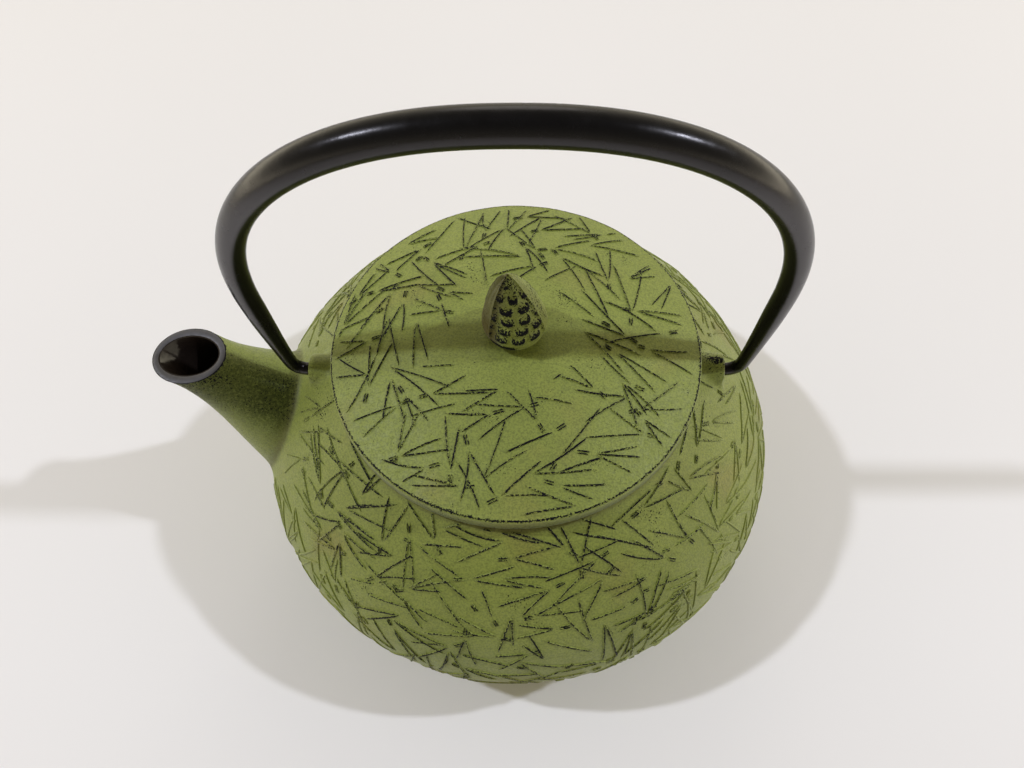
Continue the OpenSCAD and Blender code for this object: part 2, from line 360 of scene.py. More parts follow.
# ---------------------------------------------------------------- meshes from outlines and rings


def revolve(outline, sides=192):
    """Points and faces of a closed (radius, height) outline turned about Z."""
    points, rows = [], []
    for r, z in outline:
        if r < 1e-6:
            rows.append([len(points)] * sides)
            points.append((0.0, 0.0, z))
        else:
            rows.append(list(range(len(points), len(points) + sides)))
            points += [(r * math.cos(a), r * math.sin(a), z) for a in circle(sides)]
    faces = []
    for i, row in enumerate(rows):
        after = rows[(i + 1) % len(rows)]
        for j in range(sides):
            k = (j + 1) % sides
            corners = list(dict.fromkeys((row[j], row[k], after[k], after[j])))
            if len(corners) > 2:
                faces.append(corners)
    return points, faces


def tube(rings):
    """Points and faces of a closed tube through rings of equally many points."""
    rings = np.asarray(rings, float)
    count, sides = rings.shape[:2]
    j = np.arange(sides)
    k = (j + 1) % sides
    start = (np.arange(count - 1) * sides)[:, None]
    quads = np.stack([start + j, start + k, start + sides + k, start + sides + j], -1)
    faces = quads.reshape(-1, 4).tolist()
    faces += [j[::-1].tolist(), ((count - 1) * sides + j).tolist()]
    return rings.reshape(-1, 3), faces


def hoop(rings):
    """Points and faces of a tube whose last ring joins its first instead of being capped."""
    points, faces = tube(rings)
    count, sides = rings.shape[:2]
    last = (count - 1) * sides
    joins = [[j, (j + 1) % sides, last + (j + 1) % sides, last + j] for j in range(sides)]
    return points, faces[:-2] + joins


def block(low, high):
    """Points and faces of a box between two corners."""
    (x0, y0, z0), (x1, y1, z1) = low, high
    return tube([[(x0, y0, z), (x1, y0, z), (x1, y1, z), (x0, y1, z)] for z in (z0, z1)])


def cylinder_x(r, x0, x1, z, sides=40):
    """Points and faces of a cylinder along X, at a height."""
    y, dz = r * np.cos(circle(sides)), r * np.sin(circle(sides))
    return tube([np.stack([np.full(sides, x), y, z + dz], 1) for x in (x0, x1)])


def many_tubes(rings):
    """Points and faces of many closed tubes, given as an array [tube, ring, side, axis]."""
    number, count, sides = rings.shape[:3]
    _, one = tube(rings[0])
    quads = np.array(one[:-2])
    step = (np.arange(number) * count * sides)[:, None, None]
    faces = (quads[None] + step).reshape(-1, 4).tolist()
    for cap in one[-2:]:
        faces += (np.array(cap)[None] + step[:, 0]).tolist()
    return rings.reshape(-1, 3), faces


def joined(*parts):
    """Several (points, faces) as one."""
    points, faces, start = [], [], 0
    for part_points, part_faces in parts:
        points.append(np.asarray(part_points, float))
        faces += [[i + start for i in face] for face in part_faces]
        start += len(part_points)
    return np.concatenate(points), faces


def tool(shape):
    """A scratch object for a Boolean."""
    piece = add_piece("cutter", *shape, None, None, None)
    face_out(piece)
    return piece


def face_out(piece):
    """Turns all the faces outward."""
    bm = bmesh.new()
    bm.from_mesh(piece.data)
    bmesh.ops.recalc_face_normals(bm, faces=bm.faces)
    bm.to_mesh(piece.data)
    bm.free()


def combine(piece, cutter, how="DIFFERENCE"):
    """Applies one Boolean to a piece and throws the cutter away."""
    cut = piece.modifiers.new("cut", "BOOLEAN")
    cut.operation, cut.solver, cut.object = how, "MANIFOLD", cutter
    depsgraph = bpy.context.evaluated_depsgraph_get()
    mesh = bpy.data.meshes.new_from_object(piece.evaluated_get(depsgraph))
    piece.modifiers.clear()
    old, piece.data = piece.data, mesh
    bpy.data.meshes.remove(old)
    bpy.data.objects.remove(cutter)


def soften(piece, angle=35):
    """Smooth shading that keeps the edges sharper than an angle."""
    piece.data.polygons.foreach_set("use_smooth", [True] * len(piece.data.polygons))
    piece.data.set_sharp_from_angle(angle=math.radians(angle))


def mark(piece, name, values):
    """A float attribute on the vertices, which the materials read."""
    layer = piece.data.attributes.new(name, "FLOAT", "POINT")
    layer.data.foreach_set("value", np.asarray(values, "f"))


# ---------------------------------------------------------------- materials


class Nodes:
    """Short names for the shader nodes that the materials and the sky use."""

    def __init__(self, owner, shader="Principled BSDF", coordinates="Object"):
        owner.use_nodes = True
        self.tree = owner.node_tree
        self.shader = self.tree.nodes[shader]
        self.place = self.tree.nodes.new("ShaderNodeTexCoord").outputs[coordinates]

    def node(self, kind, **inputs):
        made = self.tree.nodes.new(kind)
        for key, value in inputs.items():
            self.put(made.inputs[key.replace("_", " ")], value)
        return made

    def put(self, socket, value):
        if isinstance(value, bpy.types.NodeSocket):
            self.tree.links.new(value, socket)
        elif isinstance(value, tuple) and len(value) == 3 and socket.type == "RGBA":
            socket.default_value = (*value, 1)
        else:
            socket.default_value = value

    def set(self, **inputs):
        for key, value in inputs.items():
            self.put(self.shader.inputs[key.replace("_", " ")], value)

    def noise(self, size_mm, detail=2.0, rough=0.5, shift=(0, 0, 0)):
        """Noise between 0 and 1 whose features are about size_mm across."""
        place = self.place
        if any(shift):
            moved = self.node("ShaderNodeVectorMath")
            self.put(moved.inputs[0], place)
            self.put(moved.inputs[1], shift)
            place = moved.outputs[0]
        scale = 1 / (size_mm * MM)
        made = self.node(
            "ShaderNodeTexNoise", Vector=place, Scale=scale, Detail=detail, Roughness=rough
        )
        return made.outputs["Fac"]

    def math(self, how, a, b=0.0, c=0.0, clamp=False):
        made = self.node("ShaderNodeMath")
        made.operation, made.use_clamp = how, clamp
        for socket, value in zip(made.inputs, (a, b, c)):
            self.put(socket, value)
        return made.outputs[0]

    def range(self, value, low, high, to_low=0.0, to_high=1.0):
        """A smooth step of a value from one range to another."""
        made = self.node("ShaderNodeMapRange", Value=value)
        made.interpolation_type = "SMOOTHSTEP"
        for i, limit in enumerate((low, high, to_low, to_high)):
            made.inputs[i + 1].default_value = limit
        return made.outputs["Result"]

    def mix(self, share, a, b):
        made = self.node("ShaderNodeMix")
        made.data_type = "RGBA"
        self.put(made.inputs[0], share)
        self.put(made.inputs[6], a)
        self.put(made.inputs[7], b)
        return made.outputs[2]

    def attribute(self, name):
        made = self.node("ShaderNodeAttribute")
        made.attribute_name = name
        return made.outputs["Fac"]

    def bump(self, *layers):
        """Bumps one on another, each a (height, strength, distance in mm)."""
        normal = None
        for height, strength, distance in layers:
            made = self.node(
                "ShaderNodeBump", Height=height, Strength=strength, Distance=distance * MM
            )
            if normal is not None:
                self.put(made.inputs["Normal"], normal)
            normal = made.outputs["Normal"]
        self.set(Normal=normal)


INK = (0.004, 0.004, 0.007)


def painted_iron():
    """Moss green paint on sand-cast iron, with black ink on the crests of the relief.

    Pieces carry up to five painted shares on their vertices. "crest" is how high on the relief
    a point lies, and "ink" how much ink the crests hold there. "smut" adds black specks, which
    in places deepen painted shade; "soot" is painted shade that darkens the green and dulls its
    reflection, and "tan" is painted shade that turns it dark brown.
    """
    material = bpy.data.materials.new("painted_iron")
    m = Nodes(material)
    tone = m.noise(34, 3, 0.55)
    green = m.mix(m.range(tone, 0.35, 0.7), (0.205, 0.243, 0.034), (0.232, 0.272, 0.043))
    brown = m.range(m.noise(21, 2, 0.5, shift=(0.3, 0.1, 0)), 0.54, 0.78, 0, 0.5)
    green = m.mix(brown, green, (0.235, 0.195, 0.040))
    grain = m.noise(0.5, 2, 0.7)
    green = m.mix(m.range(grain, 0.32, 0.62), m.mix(0.5, (0.05, 0.065, 0.01), green), green)

    # black specks in loose patches, thickest where the piece is marked with smut, which in places
    # deepens painted shade
    cluster = m.range(m.noise(12, 2, 0.6, shift=(0.1, 0.4, 0.2)), 0.44, 0.90)
    specks_and_shade = m.math("ADD", cluster, m.attribute("specks_and_shade"), clamp=True)
    limit = m.range(specks_and_shade, 0, 1, 0.755, 0.52)
    speck = m.noise(0.44, 1, 0.5, shift=(0.7, 0.2, 0.5))
    specks = m.math("MULTIPLY", m.math("SUBTRACT", speck, limit), 22, clamp=True)

    # ink on the crests of the relief, broken up by the grain of the casting
    crest = m.attribute("crest")
    rough = m.math("SUBTRACT", m.noise(0.48, 2, 0.65, shift=(0.2, 0.5, 0.1)), 0.5)
    inked = m.math("MULTIPLY", crest, m.attribute("ink"))
    broken = m.math("ADD", inked, m.math("MULTIPLY", rough, 2.6))
    ink = m.math("MULTIPLY", m.range(broken, 0.50, 0.62), m.range(crest, 0.02, 0.12), clamp=True)
    dark = m.math("MAXIMUM", specks, ink)

    # painted shade in patches: soot darkens the green and tan turns it brown, where pieces mark
    # shade
    patchy = m.range(m.noise(0.7, 3, 0.7), 0.3, 0.6, 0.5, 0.92)
    painted_shade = m.math("MULTIPLY", m.attribute("painted_shade"), patchy)
    green = m.mix(painted_shade, green, (0.022, 0.028, 0.006))
    green = m.mix(m.attribute("tan"), green, (0.075, 0.062, 0.010))
    m.set(Base_Color=m.mix(dark, green, INK))
    m.set(Roughness=m.range(m.noise(1.3, 2, 0.6), 0.3, 0.7, 0.50, 0.64))
    # painted shade dulls the reflection, as do the black specks and the ink
    m.set(Specular_IOR_Level=m.range(m.math("MAXIMUM", dark, painted_shade), 0, 1, 0.5, 0.1))
    m.set(Sheen_Weight=m.range(dark, 0, 1, 0.10, 0.0))
    m.bump(
        (m.noise(1.6, 3, 0.6), 0.5, 0.25),
        (m.noise(0.5, 2, 0.6, shift=(0.4, 0.4, 0.4)), 0.55, 0.12),
    )
    return material


def black_lacquer():
    """Baked black lacquer with a slight orange peel, and painted reflection: glossier where marked
    with "gloss".
    """
    material = bpy.data.materials.new("black_lacquer")
    m = Nodes(material)
    dust = m.range(m.noise(0.6, 2, 0.6), 0.62, 0.8, 0, 0.25)
    m.set(Base_Color=m.mix(dust, (0.0035, 0.0033, 0.0036), (0.014, 0.013, 0.013)))
    m.set(Roughness=m.range(m.noise(4, 3, 0.6), 0.3, 0.7, 0.20, 0.28))
    m.set(Specular_IOR_Level=m.math("MULTIPLY_ADD", m.attribute("painted_reflection"), 0.9, 0.12))
    m.set(Specular_Tint=(1.0, 0.96, 0.99))
    m.bump((m.noise(2.2, 2, 0.5), 0.22, 0.12), (m.noise(0.5, 2, 0.6), 0.10, 0.05))
    return material


def black_enamel():
    """Glossy black enamel, a little wavy."""
    material = bpy.data.materials.new("black_enamel")
    m = Nodes(material)
    m.set(Base_Color=m.mix(m.noise(6, 2), (0.008, 0.006, 0.006), (0.024, 0.017, 0.012)))
    m.set(Roughness=m.range(m.noise(3, 2), 0.3, 0.7, 0.10, 0.22))
    m.bump((m.noise(3.0, 2, 0.5), 0.35, 0.3))
    return material


def bare_iron():
    """Ground iron, dark grey."""
    material = bpy.data.materials.new("bare_iron")
    m = Nodes(material)
    m.set(Base_Color=m.mix(m.noise(0.8, 3, 0.7), (0.046, 0.045, 0.049), (0.105, 0.102, 0.108)))
    m.set(Metallic=0.35, Roughness=m.range(m.noise(1.1, 2), 0.3, 0.7, 0.42, 0.6))
    m.bump((m.noise(0.45, 3, 0.7), 0.6, 0.06))
    return material


def stainless(name, rough):
    """Stainless steel with a fine brushed grain round the part."""
    material = bpy.data.materials.new(name)
    m = Nodes(material)
    stretch = m.node("ShaderNodeMapping", Vector=m.place, Scale=(1, 1, 40))
    streak = m.node("ShaderNodeTexNoise", Vector=stretch.outputs[0], Scale=180, Detail=3)
    m.set(Base_Color=m.mix(streak.outputs["Fac"], (0.50, 0.50, 0.51), (0.66, 0.65, 0.64)))
    m.set(Metallic=1.0, Roughness=m.range(streak.outputs["Fac"], 0.3, 0.7, rough, rough + 0.12))
    m.bump((streak.outputs["Fac"], 0.08, 0.05))
    return material


PAINT = painted_iron()
LACQUER = black_lacquer()
ENAMEL = black_enamel()
IRON = bare_iron()
SHEET = stainless("stainless_sheet", 0.24)
WIRE = stainless("stainless_mesh", 0.32)


# ---------------------------------------------------------------- pot

CHANNEL_END = 1.06  # how far along the spout's curve its hollow is cut, past the mouth


def bowl_r(z, inset=0.0):
    """Radius of the bowl at a height, set in by a wall thickness."""
    dz = z - BELLY_Z
    height, n = (UPPER_H, UPPER_N) if dz > 0 else (LOWER_H, LOWER_N)
    return (POT_R - inset) * (1 - (abs(dz) / (height - inset)) ** n) ** (1 / n)


def hollow_outline(inset, top_z):
    """Outline of the bowl's inside up to a height, from the axis at the floor."""
    low_z = FLOOR_Z + inset - WALL
    share = 0.5 - 0.5 * np.cos(np.linspace(0, math.pi, 56))
    wall_line = [(bowl_r(z, inset), z) for z in low_z + (top_z - low_z) * share]
    return [(0, wall_line[0][1])] + [(r, z) for r, z in wall_line if r > 2]


def channel(inset, end):
    """The hollow of the spout, set in from its outside, wider than it is deep at the mouth."""
    rings = []
    turns = circle(56)
    for t in np.linspace(-0.22, end, 46):
        low, high = bezier(LOWER_EDGE, t), bezier(UPPER_EDGE, t)
        middle, half = (low + high) / 2, (high - low) / 2
        depth = np.linalg.norm(half)
        along = half / depth
        to_root = max(0.0, 1 - max(t, 0.0))
        walls = [edge + (ROOT_WALL - edge) * to_root for edge in MOUTH_EDGE]
        u = (depth - inset - walls[0]) * np.cos(turns)
        y = (bezier(HALF_WIDTH, t) - inset - walls[1]) * np.sin(turns)
        rings.append(np.stack([middle[0] + u * along[0], y, middle[1] + u * along[1]], 1))
    return tube(rings)


def below_foot():
    """What is cut away under the pot: all below the ground, and the recess in the ring foot."""
    return revolve(
        [(0, FOOT_RECESS), (0, -30), (FAR, -30), (FAR, 0), (FOOT_R - FOOT_EDGE, 0),
         (FOOT_IN_R + FOOT_EDGE, 0), (FOOT_IN_R, FOOT_EDGE), (FOOT_IN_R, FOOT_RECESS)]
    )


def inside_bowl():
    """What is cut away inside the pot, with the ledge, the mouth and all above the seat."""
    mouth = [(LEDGE_R, LEDGE_UNDER_Z), (LEDGE_R, LEDGE_Z), (MOUTH_R, LEDGE_Z),
             (MOUTH_R, SEAT_Z - MOUTH_CHAMFER), (MOUTH_R + MOUTH_CHAMFER, SEAT_Z),
             (FAR, SEAT_Z), (FAR, FAR), (0, FAR)]
    return revolve(hollow_outline(WALL, LEDGE_UNDER_Z) + mouth)


def make_pot():
    """The casting, and the points of its skin before the hollows are cut."""
    skin, quads = surface_nets(pot_field, (-106, -78, -9), (78, 78, 96), 1.05)
    skin = relax(skin, quads, pot_field, 3)
    piece = add_piece("pot_body", skin, quads, PAINT, "pot", "painted_iron")
    face_out(piece)
    combine(piece, tool(below_foot()))
    combine(piece, tool(inside_bowl()))
    combine(piece, tool(channel(0, CHANNEL_END)))
    for side in (-1, 1):
        inner, outer = side * (LUG_FACE - BORE_DEPTH), side * (LUG_FACE + 5)
        combine(piece, tool(cylinder_x(BORE_R, inner, outer, PIVOT_Z)))
    soften(piece)
    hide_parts("pot_casting")
    return piece, skin


def mark_pot(piece):
    """Painted shade at the spout's root, in its crease and under the lid, and bare iron where paint
    is missing.
    """
    p = points_of(piece)
    from_spout, from_bowl = spout_field(p), bowl_field(p)
    on_spout = smooth_step(p[:, 0], -58, -61) * smooth_step(from_spout, 1.5, 0.3)

    # painted shade at the root, on the front of the spout only
    edge_x, edge_z = bezier(UPPER_EDGE, np.linspace(0, 1, 40)).T
    below_edge = np.interp(-p[:, 0], -edge_x, edge_z) - p[:, 2]
    to_front = -p[:, 1]
    root = 0.9 * on_spout * (1 - smooth_step(below_edge, 5, 20)) * smooth_step(to_front, -4, 1)
    root *= 1 - 0.5 * smooth_step(to_front, 9, 15)
    root *= 1 - 0.15 * smooth_step(from_bowl, 8, 18)
    # painted shade in the crease where the spout meets the bowl
    crease = on_spout * peak(from_bowl, 0, 1.8) * smooth_step(p[:, 2], 26, 40)
    # painted shade in the crevice under the lid's edge, all round the collar
    crevice = smooth_step(from_axis(p), 48.4, 46.6) * (p[:, 2] > LEDGE_Z - 3)

    at_mouth = (p[:, 0] < -70) * smooth_step(p[:, 2], SEAT_Z - 0.5, SEAT_Z - 0.1)
    worn_place = np.array([LUG_FACE - 2.5, 0.5, PIVOT_Z + LUG_R])
    from_worn = np.linalg.norm((p - worn_place) / (1.8, 1.15, 0.8), axis=1)
    bare = np.maximum(at_mouth, 0.9 * smooth_step(from_worn, 2.1, 1.0))
    specks = 0.55 * smooth_step(from_worn, 7, 2)

    # painted shade at the root, the crease and the crevice, with specks in it; the specks by the
    # worn lug are wear
    mark(piece, "painted_shade", np.maximum.reduce([root, 0.6 * crease, 0.4 * crevice]))
    mark(piece, "tan", np.maximum(0.5 * crease, 0.8 * crevice))
    mark(piece, "specks_and_shade", np.maximum.reduce([0.6 * root, 0.3 * crease, specks]))
    mark(piece, "crest", bare)
    mark(piece, "ink", bare)


def make_spout_rim():
    """A flat ring of bare iron at the spout's mouth, just inside the painted edge."""
    inset, rise = 0.16, 0.08
    low, high = bezier(LOWER_EDGE, 1.0), bezier(UPPER_EDGE, 1.0)
    middle_x = (low[0] + high[0]) / 2
    half_sizes = (np.linalg.norm(high - low) / 2, float(bezier(HALF_WIDTH, 1.0)))
    turns = circle(112)
    loops = []
    for share, z in [(0, -0.5), (0, 0), (0.08, rise), (0.92, rise), (1, 0), (1, -0.5)]:
        reach_x, reach_y = [
            size - inset - share * (edge - inset) for size, edge in zip(half_sizes, MOUTH_EDGE)
        ]
        x, y = middle_x + reach_x * np.cos(turns), reach_y * np.sin(turns)
        loops.append(np.stack([x, y, np.full(len(turns), SEAT_Z + z)], 1))
    piece = add_piece("spout_rim", *hoop(np.array(loops)), IRON, "pot", "bare_iron")
    face_out(piece)
    soften(piece, 50)


def make_enamel():
    """The enamel inside the bowl and the spout."""
    outside = hollow_outline(WALL + SLIP, GLAZE_TOP_Z) + [(0, GLAZE_TOP_Z)]
    inside = hollow_outline(WALL + GLAZE, GLAZE_TOP_Z + 2) + [(0, GLAZE_TOP_Z + 2)]
    piece = add_piece("enamel_coat", *revolve(outside), ENAMEL, "pot", "black_enamel")
    face_out(piece)
    combine(piece, tool(channel(SLIP, CHANNEL_END)), "UNION")
    combine(piece, tool(block((-FAR, -60, SEAT_Z - 0.06), (60, 60, FAR))))
    combine(piece, tool(revolve(inside)))
    combine(piece, tool(channel(GLAZE, CHANNEL_END + 0.02)))
    soften(piece)
    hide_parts("enamel_lining")


pot, skin_points = make_pot()
mark_pot(pot)
make_spout_rim()
make_enamel()


# ---------------------------------------------------------------- pine needles


def spread(points, apart, number, rng):
    """Picks points at random that lie at least a distance apart."""
    order = rng.permutation(len(points))
    chosen = np.empty((0, 3))
    for i in order:
        if len(chosen) >= number:
            break
        if len(chosen) == 0 or np.min(((chosen - points[i]) ** 2).sum(1)) > apart**2:
            chosen = np.vstack([chosen, points[i]])
    return chosen


def walk(field, start, heading, length, bend, steps):
    """Paths of a length over a surface: points and normals as arrays [step, path, axis]."""
    place = settle(field, start)
    paths, normals = [place], [unit(slope_of(field, place)[1])]
    step = (length / steps)[:, None]
    for _ in range(steps):
        normal = normals[-1]
        heading = unit(heading - normal * (heading * normal).sum(1)[:, None])
        heading = unit(heading + np.cross(normal, heading) * (bend / steps)[:, None])
        place = settle(field, paths[-1] + heading * step, 2)
        heading = place - paths[-1]
        paths.append(place)
        normals.append(unit(slope_of(field, place)[1]))
    return np.array(paths), np.array(normals)


def walk_within(field, keep, start, heading, length, bend, steps):
    """Like walk, but each path ends before it leaves the places to keep to.

    Also returns which paths are long enough to be worth keeping.
    """
    paths, _ = walk(field, start, heading, length, bend, steps)
    ok = keep(paths.reshape(-1, 3)).reshape(paths.shape[:2])
    share = np.cumprod(ok, axis=0).sum(0) / (steps + 1)
    paths, normals = walk(field, start, heading, length * share, bend * share, steps)
    return paths, normals, share > 0.4


# a needle's section, as shares of its half width and height, and how high on the crest each is
SECTION = np.array([(-1, -0.5), (-0.82, 0.55), (-0.45, 1), (0.45, 1), (0.82, 0.55), (1, -0.5)])
SECTION_CREST = np.array([0.0, 0.4, 1.0, 1.0, 0.4, 0.0])


def ridges(paths, normals, half_width, height, taper):
    """Low rounded ridges along paths, as (points, faces, crest value of each point)."""
    across = unit(np.cross(normals, np.gradient(paths, axis=0)))
    t = np.linspace(0, 1, len(paths))[:, None]
    ends = np.clip(np.minimum(t, 1 - t) / taper, 0, 1)
    full = np.sqrt(1 - (1 - ends) ** 2) * 0.85 + 0.15
    wide = (half_width * full)[..., None, None] * SECTION[:, 0][:, None] * across[:, :, None]
    high = (height * full)[..., None, None] * SECTION[:, 1][:, None] * normals[:, :, None]
    points, faces = many_tubes((paths[:, :, None] + wide + high).transpose(1, 0, 2, 3))
    crest = SECTION_CREST * (0.35 + 0.65 * full[..., None])
    crest = np.broadcast_to(crest, (*paths.shape[:2], len(SECTION)))
    return points, faces, crest.transpose(1, 0, 2).reshape(-1)


def quiet_headings(centres, normals, side, rise, reach, fan, rng):
    """Headings of the bunches, each the least crowded of a few tries."""
    cell_size, tries = 2.4, 10
    taken = {}
    t = np.linspace(-0.65, 0.5, 14)[:, None]
    headings = np.empty_like(centres)
    for i in range(len(centres)):
        best = math.inf
        for a in rng.uniform(0, 2 * math.pi, tries):
            heading = unit(side[i] * math.cos(a) + rise[i] * math.sin(a))
            across = np.cross(normals[i], heading) * math.tan(fan[i])
            opening = np.maximum(t + 0.5, 0) * across
            legs = [centres[i] + reach[i] * (t * heading + s * opening) for s in (-1, 1)]
            places = np.floor(np.concatenate(legs) / cell_size).astype(int).tolist()
            cells = set(map(tuple, places))
            crowd = sum(taken.get(cell, 0) for cell in cells)
            if crowd < best:
                best, headings[i], chosen = crowd, heading, cells
        for cell in chosen:
            taken[cell] = taken.get(cell, 0) + 1
    return headings


def needle_bunches(field, centres, level, thick, strength, keep, rng):
    """Pine needles in bunches: a short fat sheath and two or three needles fanning from it.

    centres are where the bunches lie, level is how far they keep to the horizontal, thick is
    a share of the usual width, strength gives the ink of each place, and keep says which
    places a needle may cross.
    """
    count = len(centres)
    normals = unit(slope_of(field, centres)[1])
    side = unit(np.cross([0, 0, 1.0], normals) + 1e-6)
    rise = np.cross(normals, side)
    reach = rng.uniform(10.5, 17.5, count)
    fan = np.radians(rng.uniform(8, 17, count))
    heading = quiet_headings(centres, normals, side, rise * level, reach, fan, rng)
    start = settle(field, centres - heading * (reach * 0.5 + 2)[:, None])

    sheath_len = rng.uniform(2.2, 3.2, count)
    has_sheath = rng.random(count) < 0.6
    shapes = []

    def draw(low, high):
        return rng.uniform(low, high, len(some))

    def lay(first, heading, length, bend, steps, half_width, height, taper, tone):
        paths, normals, ok = walk_within(field, keep, first, heading, length, bend, steps)
        if not ok.any():
            return
        points, faces, crest = ridges(
            paths[:, ok], normals[:, ok], half_width[ok], height[ok], taper
        )
        ink = np.repeat(tone[ok], len(points) // ok.sum()) * strength(points)
        shapes.append((points, faces, crest, ink))

    # a sheath is two short ridges side by side
    some = np.flatnonzero(has_sheath)
    beside = np.cross(normals, heading)[some]
    for offset in (-0.32, 0.32):
        lay(
            start[some] + offset * beside, heading[some], sheath_len[some],
            np.zeros(len(some)), 6, draw(0.22, 0.30), draw(0.30, 0.38), 0.2, draw(0.75, 1.0),
        )

    # two needles fan out to the sides, and in a few bunches a third lies between them
    beyond_sheath = sheath_len + rng.uniform(0.3, 1.2, count)
    apex = settle(field, start + heading * beyond_sheath[:, None])
    across = np.cross(unit(slope_of(field, apex)[1]), heading)
    kinds = rng.random(count)
    for turn_by, chance in ((-1, 0.95), (1, 0.90), (0.15, 0.08)):
        some = np.flatnonzero((kinds + 0.37 * (turn_by + 1)) % 1 < chance)
        a = (fan[some] * turn_by + rng.normal(0, 0.04, len(some)))[:, None]
        own_heading = unit(heading[some] * np.cos(a) + across[some] * np.sin(a))
        first = apex[some] + own_heading * draw(0, 1.2)[:, None]
        length = reach[some] * draw(0.7, 1.05)
        lay(
            first, own_heading, length, rng.normal(0, 0.15, len(some)), 9,
            thick * draw(0.30, 0.40), draw(0.28, 0.38), 0.08, draw(0.7, 1.0),
        )
    points, faces = joined(*[shape[:2] for shape in shapes])
    crest, ink = [np.concatenate([shape[i] for shape in shapes]) for i in (2, 3)]
    return points, faces, crest, ink


def add_needles(name, needles, body):
    points, faces, crest, ink = needles
    piece = add_piece(name, points, faces, PAINT, body, "painted_iron")
    mark(piece, "crest", crest)
    mark(piece, "ink", ink)
    mark(piece, "specks_and_shade", np.zeros(len(points)))
    face_out(piece)


def on_bowl(p):
    """Where needles may lie on the pot: off the spout, the lugs, the collar and the foot."""
    off_ends = (p[:, 2] > 2.0) & (p[:, 2] < COLLAR_Z) & (from_axis(p) > COLLAR_R + 1)
    return off_ends & (spout_side_field(p) > 3.5) & (lug_field(p) > 1.0)


def bowl_ink(p):
    """The ink is fullest on the front of the shoulder, and thins out to the foot, sides and back."""
    to_side = smooth_step(np.hypot(p[:, 0], np.maximum(p[:, 1], 0)), 28, 64)
    bare_z = 19 + 27 * to_side
    full = (0.10 + 0.90 * smooth_step(p[:, 2], bare_z, bare_z + 26)) * (1 - 0.42 * to_side)
    return full * (0.92 + 0.08 * ripple(p, 40, 9))


def lay_pot_needles(skin):
    rng = np.random.default_rng(41)
    centres = spread(skin[on_bowl(skin)], 6.5, 780, rng)
    needles = needle_bunches(pot_field, centres, 0.6, 0.95, bowl_ink, on_bowl, rng)
    add_needles("pine_needles_pot", needles, "pot")


lay_pot_needles(skin_points)


# ---------------------------------------------------------------- lid

SMOOTH_R = 16.5  # needles keep off the lid around the knob


def dome_z(r):
    """Height of the lid's top at a radius."""
    return LID_TOP - LID_RISE * (r / LID_R) ** 2


def lid_unevenness(p):
    return 0.07 * ripple(p, 13, 5)


def lid_field(p):
    """Distance above the lid's top."""
    r = from_axis(p)
    slope = 2 * LID_RISE * r / LID_R**2
    return (p[:, 2] - dome_z(r)) / np.sqrt(1 + slope**2) - lid_unevenness(p)


def rounding(centre_r, centre_z, start, end, count):
    """An arc of the lid's edge in (radius, height), between two angles in degrees."""
    return [
        (centre_r + EDGE_ROUND * math.cos(a), centre_z + EDGE_ROUND * math.sin(a))
        for a in np.radians(np.linspace(start, end, count))
    ]


def lid_outline():
    """The lid's outline from the knob's hole outward underneath, and back over the top."""
    bare_r = LID_R - EDGE_ROUND
    pad_z, inner_r = dome_z(PAD_R), SPIGOT_R - SPIGOT_W
    inner_z, tip_z = dome_z(inner_r) - LID_WALL, LID_BASE - SPIGOT_H
    pad = [(HOLE_R, pad_z - LID_WALL), (PAD_R, pad_z - LID_WALL)]
    under = [(r, dome_z(r) - LID_WALL) for r in np.linspace(PAD_R + 1, inner_r - 1.5, 16)]
    spigot = [(inner_r - 0.9, inner_z - 0.1), (inner_r - 0.2, inner_z - 0.6),
              (inner_r, inner_z - 1.4), (inner_r + 0.1, tip_z + 0.5), (inner_r + 0.5, tip_z),
              (SPIGOT_R - 0.7, tip_z), (SPIGOT_R - 0.2, tip_z + 0.5),
              (SPIGOT_R, LID_BASE - 0.6), (SPIGOT_R + 0.5, LID_BASE)]
    edge = rounding(bare_r, LID_BASE + EDGE_ROUND, -86, 0, 8)
    edge += rounding(bare_r, dome_z(bare_r) - EDGE_ROUND, 0, 74, 9)
    fine = np.linspace(bare_r - 0.2, bare_r - 1.6, 8)
    coarse = np.linspace(bare_r - 2.2, PAD_R + 0.4, 44)
    dome = [(r, dome_z(r)) for r in (*fine, *coarse)]
    return pad + under + spigot + edge + dome + [(PAD_R, pad_z), (HOLE_R, pad_z)]


def make_lid():
    """The lid's casting, with a little unevenness on its top."""
    piece = add_piece("lid_shell", *revolve(lid_outline(), 288), PAINT, "lid", "painted_iron")
    face_out(piece)
    soften(piece, 45)
    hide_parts("lid_casting")
    p = points_of(piece)
    on_top = smooth_step(p[:, 2], LID_BASE + 3, LID_BASE + 4.6)
    on_top *= smooth_step(from_axis(p), PAD_R + 0.5, PAD_R + 4)
    p[:, 2] += lid_unevenness(p) * on_top
    piece.data.vertices.foreach_set("co", (p * MM).reshape(-1))
    piece.data.update()
    mark_lid(piece, p)


def mark_lid(piece, p):
    """A dark ragged line along the lid's edge, and painted shade on the side below it."""
    line_inset, line_width = 0.42, 0.42
    r, brow_z = from_axis(p), dome_z(LID_R - EDGE_ROUND)
    edge_line = peak(r, LID_R - line_inset, line_width) * (p[:, 2] > brow_z - 0.55)
    # painted shade on the lid's side, darker and with specks
    on_side = (r > LID_R - 0.7) * smooth_step(p[:, 2], LID_BASE + 4.4, LID_BASE + 1.6)
    mark(piece, "painted_shade", 0.75 * on_side)
    mark(piece, "specks_and_shade", np.maximum(0.6 * edge_line, 0.35 * on_side))
    mark(piece, "crest", 0.85 * edge_line)
    mark(piece, "ink", 0.9 * edge_line)


